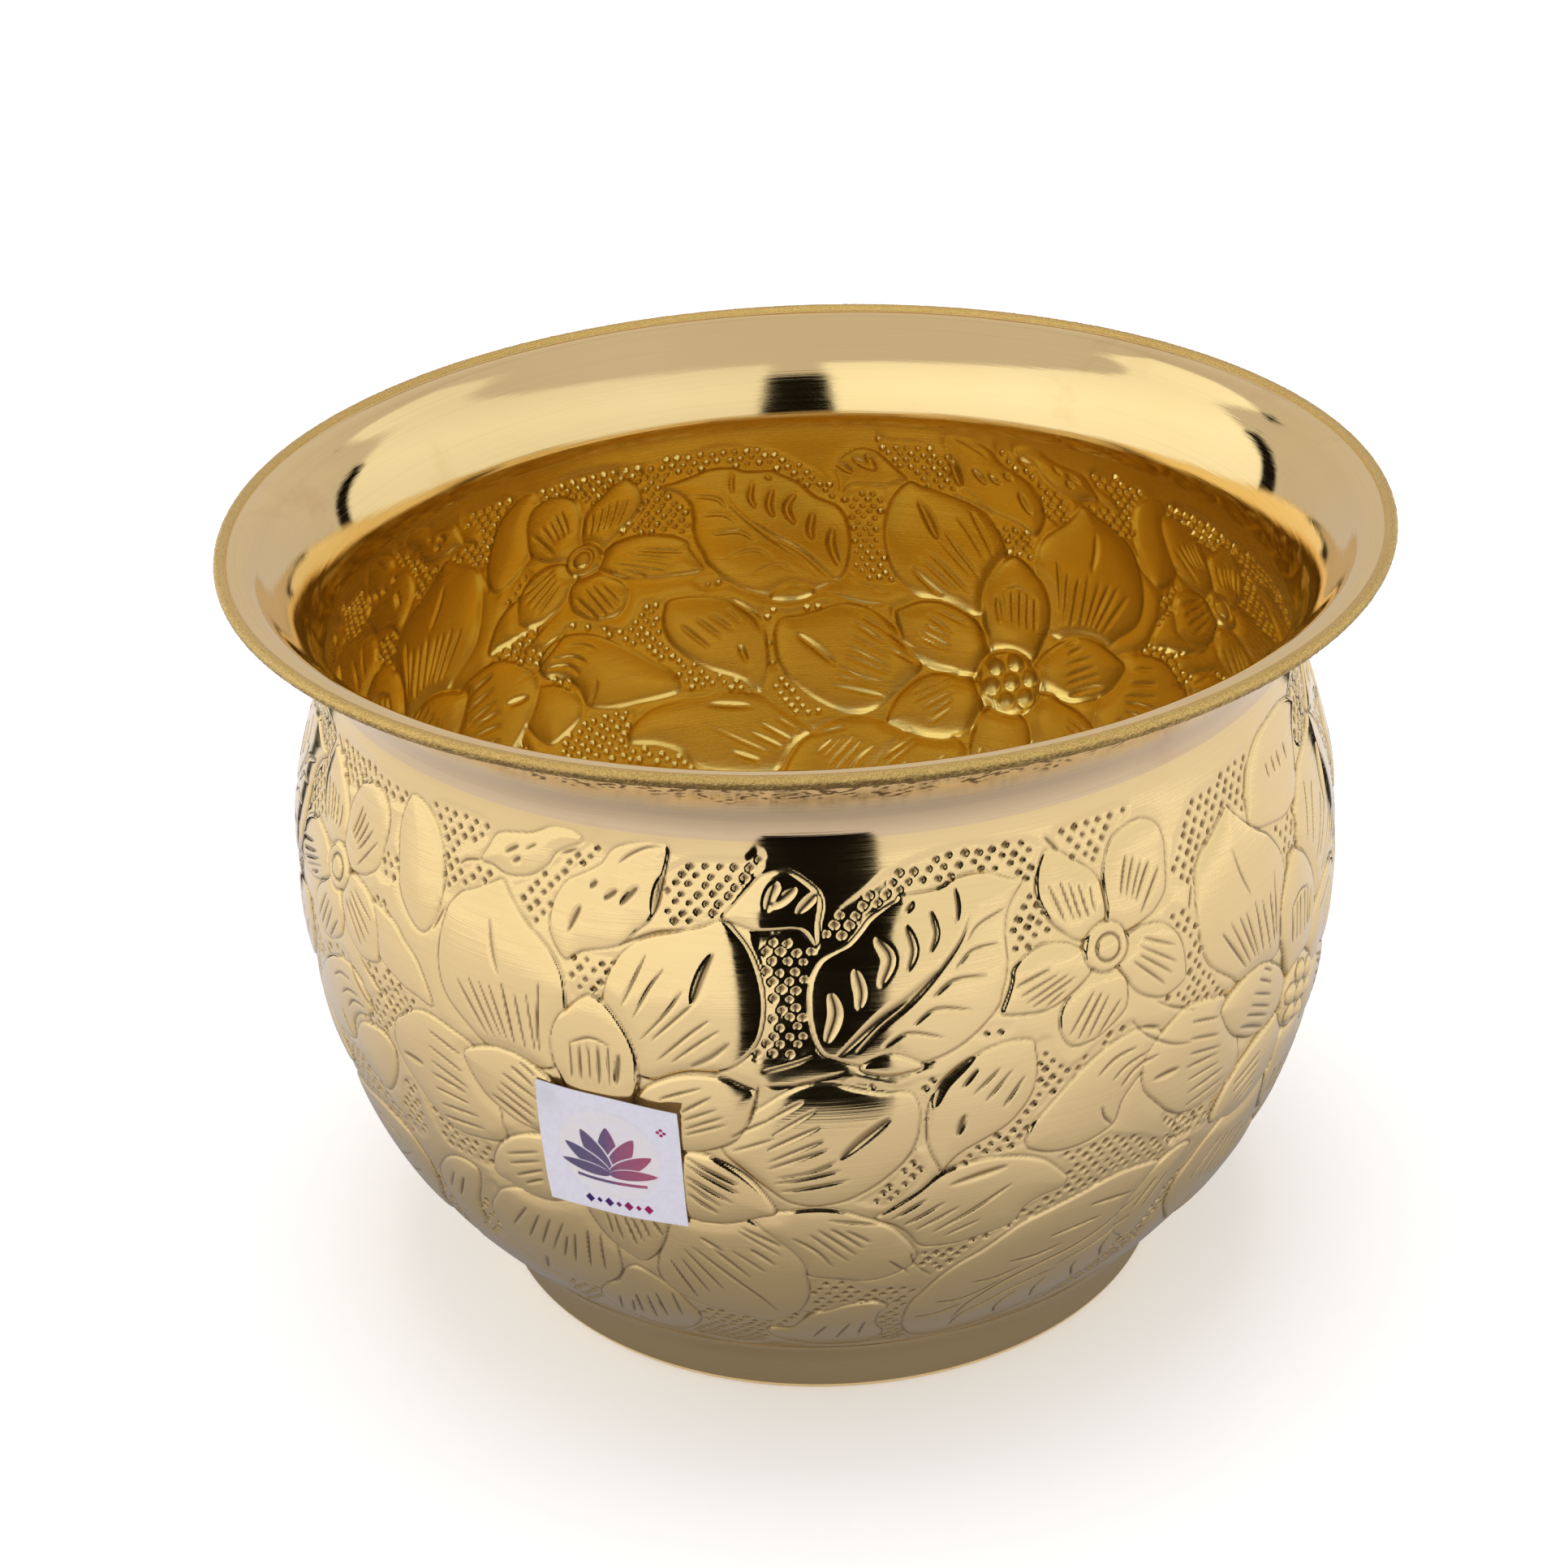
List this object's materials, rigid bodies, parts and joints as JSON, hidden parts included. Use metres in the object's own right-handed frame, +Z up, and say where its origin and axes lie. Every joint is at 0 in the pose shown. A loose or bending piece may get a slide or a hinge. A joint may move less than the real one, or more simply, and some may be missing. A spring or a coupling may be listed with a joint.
{
  "type": "brass urli bowl",
  "caption": "Deep round brass bowl with a flared, hemmed rim, chased flower and leaf relief on its wall and a short foot ring; it holds water, flowers or a plant.",
  "frame": {"origin": "on the ground, at the middle of the foot ring's underside", "axes": "+Z up along the bowl's axis; -Y is the front, the side with the sticker; +X to the right seen from the front"},
  "size_m": [0.2032, 0.2032, 0.1436],
  "materials": {
    "polished_brass": "polished, with fine spinning lines round it",
    "satin_brass": "satin, brushed round the axis",
    "braze": "dull, as cast",
    "label_paper": "smooth white coated sticker",
    "clear_film": "clear, glossy and embossed"
  },
  "bodies": {
    "root": {"bowl_body": "polished_brass", "foot_ring": "satin_brass", "braze_seam": "braze", "label": "label_paper", "label_seal": "clear_film"}
  },
  "joints": []
}
